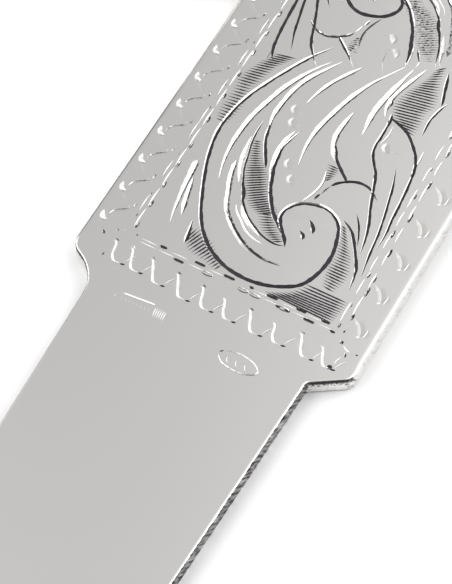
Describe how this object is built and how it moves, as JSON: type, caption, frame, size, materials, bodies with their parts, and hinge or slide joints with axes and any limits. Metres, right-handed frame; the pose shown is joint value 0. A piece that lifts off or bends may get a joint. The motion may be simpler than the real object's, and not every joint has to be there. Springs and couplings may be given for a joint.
{
  "type": "baby rattle",
  "caption": "Flat engraved silver baby rattle: a plain tapering handle with a ribbon ring, and a wide head ringed with round bells on jump rings.",
  "frame": {"origin": "centre of the whole rattle's bounding box, on the plane that its back face rests on", "axes": "+X along the handle towards the head and the bells, +Y to the left of the engraved face, +Z out of the engraved face"},
  "size_m": [0.136, 0.0572, 0.011],
  "materials": {
    "plate_silver": "hand-polished silver with bright-cut engraving darkened by tarnish",
    "wire_silver": "polished drawn silver wire",
    "bell_silver": "polished spun silver",
    "steel": "plain dark steel ball"
  },
  "bodies": {
    "plate": {"plate": "plate_silver", "handle_loop": "wire_silver", "head_loop_1": "wire_silver", "head_loop_2": "wire_silver", "head_loop_3": "wire_silver", "head_loop_4": "wire_silver", "head_loop_5": "wire_silver"},
    "ribbon_ring": {"ribbon_ring": "wire_silver"},
    "jump_ring_1": {"jump_ring_1": "wire_silver"},
    "bell_1": {"bell_loop_1": "wire_silver", "bell_cap_1": "bell_silver", "bell_bowl_1": "bell_silver", "bell_band_1": "bell_silver"},
    "pellet_1": {"bell_pellet_1": "steel"},
    "jump_ring_2": {"jump_ring_2": "wire_silver"},
    "bell_2": {"bell_loop_2": "wire_silver", "bell_cap_2": "bell_silver", "bell_bowl_2": "bell_silver", "bell_band_2": "bell_silver"},
    "pellet_2": {"bell_pellet_2": "steel"},
    "jump_ring_3": {"jump_ring_3": "wire_silver"},
    "bell_3": {"bell_loop_3": "wire_silver", "bell_cap_3": "bell_silver", "bell_bowl_3": "bell_silver", "bell_band_3": "bell_silver"},
    "pellet_3": {"bell_pellet_3": "steel"},
    "jump_ring_4": {"jump_ring_4": "wire_silver"},
    "bell_4": {"bell_loop_4": "wire_silver", "bell_cap_4": "bell_silver", "bell_bowl_4": "bell_silver", "bell_band_4": "bell_silver"},
    "pellet_4": {"bell_pellet_4": "steel"},
    "jump_ring_5": {"jump_ring_5": "wire_silver"},
    "bell_5": {"bell_loop_5": "wire_silver", "bell_cap_5": "bell_silver", "bell_bowl_5": "bell_silver", "bell_band_5": "bell_silver"},
    "pellet_5": {"bell_pellet_5": "steel"}
  },
  "joints": [
    {"name": "ribbon_swing", "type": "hinge", "parent": "plate", "child": "ribbon_ring", "pos_m": [-0.05357, 0, 0.00135], "axis": [0, 1, 0], "range_deg": [-110, 165]},
    {"name": "ring_swing_1", "type": "hinge", "parent": "plate", "child": "jump_ring_1", "pos_m": [0.03938, 0.0131, 0.00135], "axis": [1, 0, 0], "range_deg": [-30, 45]},
    {"name": "bell_swing_1", "type": "hinge", "parent": "jump_ring_1", "child": "bell_1", "pos_m": [0.03938, 0.0183, 0.00135], "axis": [1, 0, 0], "range_deg": [-75, 12]},
    {"name": "pellet_roll_1", "type": "hinge", "parent": "bell_1", "child": "pellet_1", "pos_m": [0.03938, 0.02311, 0.0055], "axis": [1, 0, 0], "continuous": true},
    {"name": "ring_swing_2", "type": "hinge", "parent": "plate", "child": "jump_ring_2", "pos_m": [0.04865, 0.00926, 0.00135], "axis": [0.7071, -0.7071, 0], "range_deg": [-30, 45]},
    {"name": "bell_swing_2", "type": "hinge", "parent": "jump_ring_2", "child": "bell_2", "pos_m": [0.05232, 0.01294, 0.00135], "axis": [0.7071, -0.7071, 0], "range_deg": [-75, 12]},
    {"name": "pellet_roll_2", "type": "hinge", "parent": "bell_2", "child": "pellet_2", "pos_m": [0.05572, 0.01634, 0.0055], "axis": [0.7071, -0.7071, 0], "continuous": true},
    {"name": "ring_swing_3", "type": "hinge", "parent": "plate", "child": "jump_ring_3", "pos_m": [0.05248, 0, 0.00135], "axis": [0, -1, 0], "range_deg": [-30, 45]},
    {"name": "bell_swing_3", "type": "hinge", "parent": "jump_ring_3", "child": "bell_3", "pos_m": [0.05768, 0, 0.00135], "axis": [0, -1, 0], "range_deg": [-75, 12]},
    {"name": "pellet_roll_3", "type": "hinge", "parent": "bell_3", "child": "pellet_3", "pos_m": [0.06249, 0, 0.0055], "axis": [0, -1, 0], "continuous": true},
    {"name": "ring_swing_4", "type": "hinge", "parent": "plate", "child": "jump_ring_4", "pos_m": [0.04865, -0.00926, 0.00135], "axis": [-0.7071, -0.7071, 0], "range_deg": [-30, 45]},
    {"name": "bell_swing_4", "type": "hinge", "parent": "jump_ring_4", "child": "bell_4", "pos_m": [0.05232, -0.01294, 0.00135], "axis": [-0.7071, -0.7071, 0], "range_deg": [-75, 12]},
    {"name": "pellet_roll_4", "type": "hinge", "parent": "bell_4", "child": "pellet_4", "pos_m": [0.05572, -0.01634, 0.0055], "axis": [-0.7071, -0.7071, 0], "continuous": true},
    {"name": "ring_swing_5", "type": "hinge", "parent": "plate", "child": "jump_ring_5", "pos_m": [0.03938, -0.0131, 0.00135], "axis": [-1, 0, 0], "range_deg": [-30, 45]},
    {"name": "bell_swing_5", "type": "hinge", "parent": "jump_ring_5", "child": "bell_5", "pos_m": [0.03938, -0.0183, 0.00135], "axis": [-1, 0, 0], "range_deg": [-75, 12]},
    {"name": "pellet_roll_5", "type": "hinge", "parent": "bell_5", "child": "pellet_5", "pos_m": [0.03938, -0.02311, 0.0055], "axis": [-1, 0, 0], "continuous": true}
  ]
}
